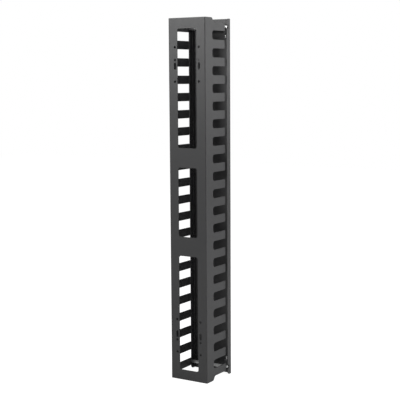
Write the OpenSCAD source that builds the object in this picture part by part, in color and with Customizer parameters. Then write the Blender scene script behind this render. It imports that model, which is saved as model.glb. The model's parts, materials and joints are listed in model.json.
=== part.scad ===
// Vertical cable manager for a 19 inch rack: a folded steel channel with a comb of
// fingers down each side, closed by a cover that swings on two sprung hinge pins.
// X runs across the channel, Y away from the mounting face, Z up. Millimetres.

/* [Channel] */
// Rack units of height, with one cable gap each side for every unit
units = 20; // [8:1:44]
// Plain height beyond the first and last unit
end_margin = 21; // [12:0.5:40]
// Width over the outer faces of the two walls
channel_w = 110; // [80:1:160]
// Depth from the mounting face to the finger tips
finger_y = 93; // [70:1:160]
// Depth from the mounting face to the tips of the first and last finger
end_finger_y = 95; // [72:1:165]
// Thickness of the channel and cover sheet
sheet_t = 1.5; // [1:0.1:3]
// Outer radius of the folds
bend_r = 2.5; // [2:0.1:5]

/* [Cable gaps] */
// Height of each gap between two fingers
gap_h = 22.7; // [12:0.1:34]
// Distance from the mounting face to the bottom of a gap
gap_root_y = 33; // [20:1:60]
// Radius in the two corners at the bottom of a gap
gap_root_r = 7; // [1:0.5:10]
// Radius on the corners of a finger tip
tip_r = 3; // [1:0.5:8]
// Depth of wall that keeps the full height at each end
shoulder_y = 28; // [15:1:50]
// Distance over which the wall end curves down
ogee_l = 15; // [13:0.5:30]
// Drop of the wall end beyond that curve
ogee_drop = 11.2; // [5:0.1:14]

/* [Mounting web] */
// Width of the three windows
window_w = 57; // [30:1:100]
// Height of the first and last window
window_end_h = 300; // [80:1:400]
// Height of web left between two windows
rail_h = 50; // [20:1:80]
// Height of web left beyond the first and last window
window_margin = 26.6; // [15:0.1:50]
// Radius of the window corners
window_r = 6; // [1:0.5:20]
// Distance between the two columns of holes
hole_pitch = 71.3; // [50:0.1:120]
// Diameter of the mounting holes and width of the slots
hole_d = 6.6; // [4:0.1:9]
// Distance of the outermost hole from the end of the web
hole_end_1 = 73; // [40:0.5:100]
// Distance of the second hole from the end
hole_end_2 = 104.75; // [80:0.25:140]
// Distance of the third hole from the end
hole_end_3 = 158.75; // [130:0.25:220]
// Distance of the slot's centre from the end
slot_end = 120; // [90:0.5:160]
// Length of the slot, ends included
slot_l = 18; // [8:0.5:30]

/* [Cover] */
// Width over the outer faces of the cover's lips
cover_w = 116; // [90:1:170]
// Distance from the mounting face to the cover's outer face
cover_y = 117; // [95:1:190]
// Distance from the mounting face to the edge of the lips
lip_y = 98.5; // [90:0.5:170]
// Radius on the corners of the lips
lip_r = 9; // [2:0.5:15]
// Radius of the notch in the hinged lip that clears an eye
notch_r = 5.5; // [4:0.5:8]

/* [Hinge] */
// Distance from the end of the channel to the middle of the hinge bar
bar_end = 22.5; // [18:0.5:40]
// Height of the hinge bar
bar_h = 8; // [7:0.5:16]
// Thickness of the hinge bar
bar_t = 2; // [1.5:0.1:3]
// Distance of the hinge pins from the middle of the channel
axis_x = 52.5; // [40:0.5:60]
// Distance of the hinge pins from the mounting face
axis_y = 103; // [95:0.5:175]
// Radius of the eye that holds a hinge pin
eye_r = 3.7; // [3.2:0.1:5]
// Diameter of the hinge pins
pin_d = 5; // [3:0.1:6]
// Difference between a hinge pin and its holes
pin_clear = 0.1; // [0.05:0.01:0.3]
// Distance a pin is pulled back to let go of its eye
pin_travel = 6; // [5:0.5:8]

/* [Hidden] */
$fn = 96;
unit_h = 44.45;
channel_h = units * unit_h + 2 * end_margin;
half_h = channel_h / 2;
half_w = channel_w / 2;
inner_x = half_w - sheet_t;
cut = 1;

window_mid_h = channel_h - 2 * (window_margin + window_end_h + rail_h);
window_end_z = half_h - window_margin - window_end_h / 2;
hole_zs = [half_h - hole_end_1, half_h - hole_end_2, half_h - hole_end_3];
slot_z = half_h - slot_end;

cover_x = cover_w / 2;
lip_x = cover_x - sheet_t;
face_y = cover_y - sheet_t;
bar_z = half_h - bar_end;
bar_y = end_finger_y;
ear_z = bar_z + bar_h / 2 - bar_t;

// Heights along a hinge pin, measured down from the underside of its eye
pin_top_z = ear_z + bar_t + 1.2;
groove_d = pin_d - 1;
clip_t = 1.1;
wire_d = 0.6;
coil_r = 3.2;
coil_turns = 6;
spring_l = pin_travel + coil_turns * wire_d + 3.3;
bracket_t = 1.5;
bracket_h = 2 * bracket_t + clip_t + spring_l;
bracket_z = ear_z - 3.5;
bracket_r = 3.8;
bracket_y = axis_y - 5.6;
clip_z = bracket_z - bracket_t - clip_t;
spring_foot_z = clip_z - spring_l;
knob_h = 6;
knob_d = 7.4;
knob_z = bracket_z - bracket_h - 1;

catch_x = -44;
catch_w = 12;
catch_h = 7;
magnet_t = 4;
magnet_gap = 0.1;
magnet_y = bar_y + magnet_gap;

// Extrudes a drawing of the YZ plane along X, centred
module along_x(length) {
  rotate([90, 0, 90])
    linear_extrude(length, center = true)
      children();
}

// Extrudes a drawing of the XZ plane along Y, between two depths
module along_y(y0, y1) {
  translate([0, y1, 0])
    rotate([90, 0, 0])
      linear_extrude(y1 - y0)
        children();
}

// A rectangle on the X axis whose two lower corners are round
module folded_outline(w, d, r) {
  translate([-w / 2, r])
    square([w, d - r]);
  translate([-w / 2 + r, 0])
    square([w - 2 * r, r + 0.01]);
  for (s = [-1, 1])
    translate([s * (w / 2 - r), r])
      circle(r);
}

// A folded U of sheet, open upwards
module folded_u(w, d, t, r) {
  difference() {
    folded_outline(w, d, r);
    translate([0, t])
      folded_outline(w - 2 * t, d, r - t);
  }
}

// A rectangle with four round corners, centred
module round_rect(w, h, r) {
  square([w, h - 2 * r], center = true);
  square([w - 2 * r, h], center = true);
  for (x = [-1, 1], y = [-1, 1])
    translate([x * (w / 2 - r), y * (h / 2 - r)])
      circle(r);
}

// What is cut off a corner at the origin to round it, for material at negative x and y
module corner_cut(r) {
  translate([-r, -r])
    difference() {
      square(r + cut);
      circle(r);
    }
}

// One cable gap on the YZ plane, with the tips of the fingers below and above it rounded
module gap_outline(tip_below, tip_above) {
  l = end_finger_y - gap_root_y;
  translate([gap_root_y + l, 0])
    round_rect(2 * l, gap_h, gap_root_r);
  translate([tip_below, -gap_h / 2])
    corner_cut(tip_r);
  translate([tip_above, gap_h / 2])
    mirror([0, 1])
      corner_cut(tip_r);
}

// What is cut off the upper end of a wall: an S of two equal arcs, then a straight edge
module end_cut() {
  r = (ogee_l ^ 2 + ogee_drop ^ 2) / (4 * ogee_drop);
  low = half_h - ogee_drop;
  mid_y = shoulder_y + ogee_l / 2;
  difference() {
    translate([shoulder_y, low])
      square([finger_y, 2 * ogee_drop]);
    translate([shoulder_y - cut, low - cut])
      square([ogee_l / 2 + cut, half_h - r - low + cut]);
    translate([shoulder_y, half_h - r])
      circle(r);
    difference() {
      translate([mid_y, low - cut])
        square([ogee_l / 2, r + cut]);
      translate([shoulder_y + ogee_l, low + r])
        circle(r);
    }
  }
  translate([end_finger_y, low])
    corner_cut(tip_r);
}

// Everything cut through both walls
module wall_cuts() {
  last = units - 1;
  for (k = [0 : last])
    translate([0, (k - last / 2) * unit_h])
      gap_outline(k == 0 ? end_finger_y : finger_y, k == last ? end_finger_y : finger_y);
  translate([finger_y, -last / 2 * unit_h])
    square([finger_y, last * unit_h]);
  for (s = [0, 1])
    mirror([0, s])
      end_cut();
}

// Everything cut through the mounting web
module web_cuts() {
  round_rect(window_w, window_mid_h, window_r);
  for (s = [-1, 1]) {
    translate([0, s * window_end_z])
      round_rect(window_w, window_end_h, window_r);
    for (x = [-1, 1]) {
      for (z = hole_zs)
        translate([x * hole_pitch / 2, s * z])
          circle(d = hole_d);
      translate([x * hole_pitch / 2, s * slot_z])
        slot_outline();
    }
  }
}

// A vertical slot with round ends
module slot_outline() {
  run = slot_l - hole_d;
  square([hole_d, run], center = true);
  for (s = [-1, 1])
    translate([0, s * run / 2])
      circle(d = hole_d);
}

// The folded channel with its two combs of fingers
module channel() {
  color([0.14, 0.14, 0.15])
    difference() {
      linear_extrude(channel_h, center = true)
        folded_u(channel_w, end_finger_y, sheet_t, bend_r);
      along_x(2 * channel_w)
        wall_cuts();
      along_y(-cut, bend_r + cut)
        web_cuts();
    }
}

// What is cut off the cover's upper end on the YZ plane: the front corner of a lip
module lip_corner() {
  translate([lip_y, half_h])
    mirror([1, 0])
      corner_cut(lip_r);
}

// The folded cover, with round lip corners and a notch at each hinge eye
module cover() {
  color([0.13, 0.13, 0.14])
    difference() {
      linear_extrude(channel_h, center = true)
        translate([0, cover_y])
          mirror([0, 1])
            folded_u(cover_w, cover_y - lip_y, sheet_t, bend_r);
      for (s = [0, 1])
        mirror([0, 0, s]) {
          along_x(cover_w + 2)
            lip_corner();
          translate([cover_x, axis_y - 2, ear_z + bar_t / 2 - 1.2])
            rotate([0, 90, 0])
              cylinder(r = notch_r, h = 4 * sheet_t, center = true);
        }
    }
}

// A plated strap across the channel, with a bent eye for one hinge pin
module hinge_bar() {
  along_y(bar_y - bar_t, bar_y)
    translate([0, bar_z])
      square([2 * inner_x, bar_h], center = true);
  translate([0, 0, ear_z])
    difference() {
      linear_extrude(bar_t) {
        polygon([
          [axis_x - 9, bar_y - bar_t / 2],
          [inner_x - bar_t, bar_y - bar_t / 2],
          [axis_x + 1.3, axis_y - 3.4],
          [axis_x, axis_y],
          [axis_x - eye_r, axis_y],
        ]);
        translate([axis_x, axis_y])
          circle(eye_r);
      }
      translate([axis_x, axis_y, -cut])
        cylinder(d = pin_d + pin_clear, h = bar_t + 2 * cut);
    }
}

// A sprung pin with a pointed end, a groove for its clip and a reduced tail for its knob
module hinge_pin() {
  r = pin_d / 2;
  translate([axis_x, axis_y, 0])
    rotate_extrude()
      polygon([
        [0, knob_z - knob_h + 1],
        [r, knob_z - knob_h + 1],
        [r, clip_z],
        [groove_d / 2, clip_z],
        [groove_d / 2, clip_z + clip_t],
        [r, clip_z + clip_t],
        [r, pin_top_z - 1.2],
        [r - 1.2, pin_top_z],
        [0, pin_top_z],
      ]);
}

// A folded bracket with two eyes that guide a hinge pin, open towards the cover
module pin_bracket() {
  difference() {
    translate([axis_x, bracket_y, bracket_z - bracket_h / 2])
      rotate([90, 0, 90])
        linear_extrude(2 * bracket_r, center = true)
          rotate(-90)
            folded_u(bracket_h, face_y - bracket_y, bracket_t, bend_r);
    translate([axis_x + bracket_r, face_y, bracket_z - bracket_h - cut])
      cylinder(r = bend_r, h = bracket_h + 2 * cut);
    translate([axis_x, axis_y, bracket_z - bracket_h - cut])
      cylinder(d = pin_d + pin_clear, h = bracket_h + 2 * cut);
  }
}

// A point on the rim of a spring's wire, a turns along the coil and b round the wire
function coil_point(a, b) =
  let (
    rise = a < 1 ? a * a / 2 : a > coil_turns - 1 ? coil_turns - 1 - (coil_turns - a) ^ 2 / 2 : a - 0.5,
    lift = wire_d / 2 + rise / (coil_turns - 1) * (spring_l - wire_d),
    radius = coil_r + wire_d / 2 * cos(b)
  )
  [radius * cos(a * 360), radius * sin(a * 360), lift + wire_d / 2 * sin(b)];

// A coil spring around a hinge pin, between its bracket and its clip
module pin_spring() {
  steps = 24 * coil_turns;
  sides = 10;
  points = [for (i = [0 : steps], j = [0 : sides - 1])
    coil_point(i * coil_turns / steps, j * 360 / sides)];
  skin = [for (i = [0 : steps - 1], j = [0 : sides - 1])
    [i * sides + j, i * sides + (j + 1) % sides, (i + 1) * sides + (j + 1) % sides, (i + 1) * sides + j]];
  ends = [
    [for (j = [sides - 1 : -1 : 0]) j],
    [for (j = [0 : sides - 1]) steps * sides + j],
  ];
  translate([axis_x, axis_y, spring_foot_z])
    polyhedron(points, concat(skin, ends));
}

// A retaining clip, open on one side, that sits in the pin's groove
module pin_clip() {
  translate([axis_x, axis_y, clip_z])
    linear_extrude(clip_t)
      difference() {
        circle(d = pin_d + 2);
        circle(d = groove_d);
        translate([-groove_d / 2 + 0.3, -pin_d])
          square([groove_d - 0.6, pin_d]);
      }
}

// A round pull knob with a waist, pressed on the pin's tail
module pin_knob() {
  r = knob_d / 2;
  tail = knob_z - knob_h;
  translate([axis_x, axis_y, 0])
    difference() {
      rotate_extrude()
        polygon([
          [0, tail],
          [r - 0.8, tail],
          [r, tail + 0.8],
          [r, tail + 2],
          [r - 1, tail + 3],
          [r - 1, knob_z - 0.5],
          [r - 1.5, knob_z],
          [0, knob_z],
        ]);
      translate([0, 0, tail + 1])
        cylinder(d = pin_d, h = knob_h);
    }
}

// A folded stand-off that carries a magnet in front of the hinge bar
module catch_bracket() {
  y0 = magnet_y + magnet_t;
  translate([catch_x, y0, bar_z - catch_h / 2])
    linear_extrude(catch_h)
      folded_u(catch_w, face_y - y0, bracket_t, bend_r);
}

// A block magnet that holds the cover shut against the hinge bar
module catch_magnet() {
  along_y(magnet_y, magnet_y + magnet_t)
    translate([catch_x, bar_z])
      round_rect(catch_w - 3, catch_h, 1);
}

module plated() {
  color([0.72, 0.73, 0.74])
    children();
}

module black_steel() {
  color([0.12, 0.12, 0.13])
    children();
}

module flipped() {
  mirror([0, 0, 1])
    children();
}

channel();
cover();
plated() hinge_bar();  // hinge_bar_top
plated() flipped() hinge_bar();  // hinge_bar_bottom
plated() hinge_pin();  // hinge_pin_top
plated() flipped() hinge_pin();  // hinge_pin_bottom
black_steel() pin_bracket();  // pin_bracket_top
black_steel() flipped() pin_bracket();  // pin_bracket_bottom
plated() pin_spring();  // pin_spring_top
plated() flipped() pin_spring();  // pin_spring_bottom
plated() pin_clip();  // pin_clip_top
plated() flipped() pin_clip();  // pin_clip_bottom
plated() pin_knob();  // pin_knob_top
plated() flipped() pin_knob();  // pin_knob_bottom
black_steel() catch_bracket();  // catch_bracket_top
black_steel() flipped() catch_bracket();  // catch_bracket_bottom
black_steel() catch_magnet();  // catch_magnet_top
black_steel() flipped() catch_magnet();  // catch_magnet_bottom
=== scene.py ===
import json
import bpy
from mathutils import Matrix, Vector


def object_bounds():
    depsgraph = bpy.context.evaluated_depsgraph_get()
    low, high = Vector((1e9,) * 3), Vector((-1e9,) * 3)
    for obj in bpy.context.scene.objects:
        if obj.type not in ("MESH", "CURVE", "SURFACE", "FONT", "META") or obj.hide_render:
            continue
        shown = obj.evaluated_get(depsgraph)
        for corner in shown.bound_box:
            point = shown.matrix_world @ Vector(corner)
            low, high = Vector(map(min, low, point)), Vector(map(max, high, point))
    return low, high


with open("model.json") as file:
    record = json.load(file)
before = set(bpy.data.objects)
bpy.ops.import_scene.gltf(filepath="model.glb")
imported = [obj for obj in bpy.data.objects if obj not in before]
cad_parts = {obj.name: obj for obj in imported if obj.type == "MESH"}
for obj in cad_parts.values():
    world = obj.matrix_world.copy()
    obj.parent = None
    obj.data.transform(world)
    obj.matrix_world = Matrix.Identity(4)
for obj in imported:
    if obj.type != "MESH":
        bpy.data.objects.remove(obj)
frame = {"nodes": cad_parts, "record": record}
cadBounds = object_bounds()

print("frame loaded with", len(frame["nodes"]), "nodes")


class Signal:
    # a shader socket that takes + and * with numbers and other signals
    def __init__(self, nodes, socket):
        self.nodes = nodes
        self.socket = socket

    def __add__(self, other):
        return self.nodes.maths("ADD", self, other)

    def __radd__(self, other):
        return self.nodes.maths("ADD", other, self)

    def __mul__(self, other):
        return self.nodes.maths("MULTIPLY", self, other)

    def __rmul__(self, other):
        return self.nodes.maths("MULTIPLY", other, self)


class NodeSet:
    # the nodes of one material or world
    def __init__(self, owner):
        owner.use_nodes = True
        self.tree = owner.node_tree
        self.tree.nodes.clear()

    def add(self, kind, settings=None, inputs=None, output=0):
        node = self.tree.nodes.new("ShaderNode" + kind)
        for key, value in (settings or {}).items():
            setattr(node, key, value)
        for key, value in (inputs or {}).items():
            if isinstance(value, Signal):
                self.tree.links.new(value.socket, node.inputs[key])
            else:
                node.inputs[key].default_value = value
        return Signal(self, node.outputs[output]) if node.outputs else node

    def maths(self, operation, first, second):
        return self.add("Math", {"operation": operation}, {0: first, 1: second})

    def ray(self, kind):
        return self.add("LightPath", output=f"Is {kind} Ray")


class Finish(NodeSet):
    # one material
    def __init__(self, name):
        self.material = bpy.data.materials.new(name)
        super().__init__(self.material)

    def place(self):
        return self.add("TexCoord", output="Object")

    def stretched(self, scale):
        return self.add("Mapping", {}, {"Vector": self.place(), "Scale": scale})

    def noise(self, vector, scale, detail=2.0, roughness=0.5):
        sizes = {"Vector": vector, "Scale": scale, "Detail": detail, "Roughness": roughness}
        return self.add("TexNoise", {"noise_dimensions": "3D"}, sizes)

    def cells(self, vector, feature, scale, **sockets):
        return self.add("TexVoronoi", {"feature": feature}, {"Vector": vector, "Scale": scale, **sockets})

    def blendColours(self, amount, first, second):
        firstColour, secondColour, colourOut = 6, 7, 2
        sockets = {"Factor": amount, firstColour: first, secondColour: second}
        return self.add("Mix", {"data_type": "RGBA"}, sockets, output=colourOut)

    def bump(self, height, strength, distance, normal=None):
        sockets = {"Height": height, "Strength": strength, "Distance": distance}
        if normal is not None:
            sockets["Normal"] = normal
        return self.add("Bump", {}, sockets)

    def close(self, **sockets):
        inputs = {key.replace("_", " "): value for key, value in sockets.items()}
        shader = self.add("BsdfPrincipled", {}, inputs)
        self.add("OutputMaterial", {}, {"Surface": shader})
        return self.material


def colour(red, green, blue):
    return (red, green, blue, 1.0)


def toned(shade, tone):
    return tuple(channel * tone for channel in shade[:3]) + (1.0,)


# Powder coat: a fine leathery skin, slightly uneven in tone and gloss
powderCoat = {
    "dark": colour(0.014, 0.014, 0.015),
    "light": colour(0.020, 0.020, 0.021),
    "grainScale": 1500,
    "grainDetail": 3.0,
    "grainRoughness": 0.6,
    "grainStrength": 0.6,
    "grainDepth": 0.00006,
    "peelScale": 520,
    "peelSmoothness": 0.8,
    "peelStrength": 0.5,
    "peelDepth": 0.00012,
    "cloudScale": 9.0,
    "cloudDetail": 3.0,
    "cloudShare": 0.6,
    "grainShare": 0.4,
    "handledScale": 60.0,
    "handledShare": 0.5,
    "roughest": 0.48,
    "smoothest": 0.36,
    "edgeRadius": 0.0004,
    "edgeSamples": 4,
    "refraction": 1.5,
}


def makePowderCoat(name, settings, tone=1.0):
    finish = Finish(name)
    place = finish.place()
    grain = finish.noise(place, settings["grainScale"], settings["grainDetail"], settings["grainRoughness"])
    peel = finish.cells(place, "SMOOTH_F1", settings["peelScale"], Smoothness=settings["peelSmoothness"])
    cloud = finish.noise(place, settings["cloudScale"], settings["cloudDetail"])
    handled = finish.noise(place, settings["handledScale"])
    shade = cloud * settings["cloudShare"] + grain * settings["grainShare"]
    base = finish.blendColours(shade, toned(settings["dark"], tone), toned(settings["light"], tone))
    span = settings["roughest"] - settings["smoothest"]
    wear = handled * settings["handledShare"] + grain * (1 - settings["handledShare"])
    edge = finish.add("Bevel", {"samples": settings["edgeSamples"]}, {"Radius": settings["edgeRadius"]})
    skin = finish.bump(peel, settings["peelStrength"], settings["peelDepth"], edge)
    skin = finish.bump(grain, settings["grainStrength"], settings["grainDepth"], skin)
    rough = settings["smoothest"] + span * wear
    return finish.close(Base_Color=base, Roughness=rough, Normal=skin, IOR=settings["refraction"])


# Zinc plate: bright, with a faint grain along the strip and small clouds of tarnish
zincPlate = {
    "bright": colour(0.70, 0.71, 0.72),
    "dull": colour(0.50, 0.50, 0.49),
    "grain": (300, 2600, 2600),
    "grainDetail": 3.0,
    "grainRoughness": 0.6,
    "grainStrength": 0.35,
    "grainDepth": 0.00003,
    "cloudScale": 90,
    "cloudDetail": 4.0,
    "cloudRoughness": 0.6,
    "cloudShare": 0.6,
    "smoothest": 0.24,
    "roughest": 0.42,
}
turnedSteel = dict(zincPlate, grain=(200, 200, 9000), bright=colour(0.74, 0.74, 0.75),
                   smoothest=0.2, roughest=0.34)
springWire = dict(zincPlate, grain=(1500, 1500, 1500), bright=colour(0.52, 0.52, 0.53),
                  dull=colour(0.36, 0.35, 0.34), smoothest=0.3, roughest=0.45)


def makeZinc(name, settings):
    finish = Finish(name)
    stretched = finish.stretched(settings["grain"])
    grain = finish.noise(stretched, 1.0, settings["grainDetail"], settings["grainRoughness"])
    cloud = finish.noise(finish.place(), settings["cloudScale"], settings["cloudDetail"],
                         settings["cloudRoughness"])
    base = finish.blendColours(cloud, settings["bright"], settings["dull"])
    span = settings["roughest"] - settings["smoothest"]
    rough = settings["smoothest"] + span * (
        cloud * settings["cloudShare"] + grain * (1 - settings["cloudShare"]))
    skin = finish.bump(grain, settings["grainStrength"], settings["grainDepth"])
    return finish.close(Base_Color=base, Roughness=rough, Metallic=1.0, Normal=skin)


# Ferrite: dull, speckled and slightly porous
ferrite = {
    "dark": colour(0.035, 0.034, 0.034),
    "light": colour(0.085, 0.083, 0.085),
    "speckScale": 1400,
    "speckDetail": 5.0,
    "speckRoughness": 0.7,
    "speckContrast": 1.6,
    "poreScale": 900,
    "poreSpeck": 0.6,
    "poreStrength": 0.5,
    "poreDepth": 0.00005,
    "smoothest": 0.62,
    "speckGloss": 0.2,
}


def makeFerrite(name, settings):
    finish = Finish(name)
    place = finish.place()
    speck = finish.noise(place, settings["speckScale"], settings["speckDetail"], settings["speckRoughness"])
    pore = finish.cells(place, "F1", settings["poreScale"])
    base = finish.blendColours(speck * speck * settings["speckContrast"], settings["dark"], settings["light"])
    rough = settings["smoothest"] + speck * settings["speckGloss"]
    skin = finish.bump(pore + speck * settings["poreSpeck"], settings["poreStrength"], settings["poreDepth"])
    return finish.close(Base_Color=base, Roughness=rough, Normal=skin)


print("making the finishes")
finishes = {
    "powder_coat": makePowderCoat("powderCoat", powderCoat),
    "powder_coat_cover": makePowderCoat("powderCoatCover", powderCoat, 1.08),
    "bracket_black": makePowderCoat("powderCoatBracket", powderCoat, 0.85),
    "zinc": makeZinc("zincPlate", zincPlate),
    "pin_steel": makeZinc("turnedSteel", turnedSteel),
    "spring_steel": makeZinc("springWire", springWire),
    "magnet": makeFerrite("ferrite", ferrite),
}

for part in frame["record"]["subparts"]:
    piece = frame["nodes"][part["node"]]
    for slot in piece.material_slots:
        slot.material = finishes[part["material_slot"]]


# The camera stands to the right of the mounting side, a little above the middle
cameraView = {
    "place": (1.3992, -2.1480, 0.3106),
    "right": (0.844810, 0.535030, -0.006288),
    "forward": (-0.531953, 0.838569, -0.117590),
    "up": (-0.057642, 0.102686, 0.993042),
    "lens": 91.2658,
    "sensor": 36.0,
    "nearest": 0.01,
    "farthest": 50,
}


def makeCamera(settings):
    data = bpy.data.cameras.new("camera")
    data.sensor_fit = "HORIZONTAL"
    data.sensor_width = settings["sensor"]
    data.lens = settings["lens"]
    data.clip_start = settings["nearest"]
    data.clip_end = settings["farthest"]
    camera = bpy.data.objects.new("camera", data)
    axes = (Vector(settings["right"]), Vector(settings["up"]), -Vector(settings["forward"]))
    turn = Matrix(axes).transposed().to_4x4()
    camera.matrix_world = Matrix.Translation(settings["place"]) @ turn
    bpy.context.scene.collection.objects.link(camera)
    bpy.context.scene.camera = camera


makeCamera(cameraView)

# White floor and room, and three large soft lamps
studio = {
    "floorSize": 12.0,
    "floorGap": 0.0005,
    "floorShade": colour(0.9, 0.9, 0.9),
    "floorGlow": 0.6,
    "glowStrength": 1.51,
    "roomStrength": 0.26,
    "mirrorShare": 0.12,
}


def makeFloor(settings):
    half = settings["floorSize"] / 2
    height = cadBounds[0][2] - settings["floorGap"]
    mesh = bpy.data.meshes.new("floor")
    corners = [(-half, -half, height), (half, -half, height), (half, half, height), (-half, half, height)]
    mesh.from_pydata(corners, [], [(0, 1, 2, 3)])
    floor = bpy.data.objects.new("floor", mesh)
    bpy.context.scene.collection.objects.link(floor)
    finish = Finish("floor")
    plain = finish.add("BsdfDiffuse", {}, {"Color": settings["floorShade"]})
    glow = finish.add("Emission", {}, {"Color": colour(1, 1, 1), "Strength": settings["glowStrength"]})
    share = finish.ray("Camera") * settings["floorGlow"] + finish.ray("Glossy") * settings["mirrorShare"]
    seen = finish.add("MixShader", {}, {"Fac": share, 1: plain, 2: glow})
    finish.add("OutputMaterial", {}, {"Surface": seen})
    mesh.materials.append(finish.material)


def makeRoom(settings):
    # seen white, but it lights the part far less
    world = bpy.data.worlds.new("room")
    bpy.context.scene.world = world
    room = NodeSet(world)
    mirrored = room.ray("Glossy") * settings["mirrorShare"]
    seen = room.maths("MAXIMUM", room.ray("Camera"), mirrored)
    seen = room.maths("MAXIMUM", seen, room.ray("Transmission"))
    strength = settings["roomStrength"] + (1 - settings["roomStrength"]) * seen
    back = room.add("Background", {}, {"Color": colour(1, 1, 1), "Strength": strength})
    room.add("OutputWorld", {}, {"Surface": back})


lamps = {
    "keyLamp": {"place": (-1.5, -2.3, 1.1), "target": (0, 0, 0.3), "size": 1.0, "power": 46},
    "sideLamp": {"place": (2.6, 0.2, 1.1), "target": (0, 0, 0.1), "size": 1.8, "power": 72},
    "backLamp": {"place": (1.9, 2.7, 0.9), "target": (0, 0, 0.2), "size": 1.6, "power": 18},
}


def makeLamp(name, settings):
    data = bpy.data.lights.new(name, "AREA")
    data.shape = "SQUARE"
    data.size = settings["size"]
    data.energy = settings["power"]
    lamp = bpy.data.objects.new(name, data)
    aim = Vector(settings["target"]) - Vector(settings["place"])
    turn = aim.to_track_quat("-Z", "Y").to_matrix().to_4x4()
    lamp.matrix_world = Matrix.Translation(settings["place"]) @ turn
    bpy.context.scene.collection.objects.link(lamp)


makeFloor(studio)
makeRoom(studio)
for name, settings in lamps.items():
    makeLamp(name, settings)
bpy.context.scene.view_settings.view_transform = "Standard"
print("studio is lit")
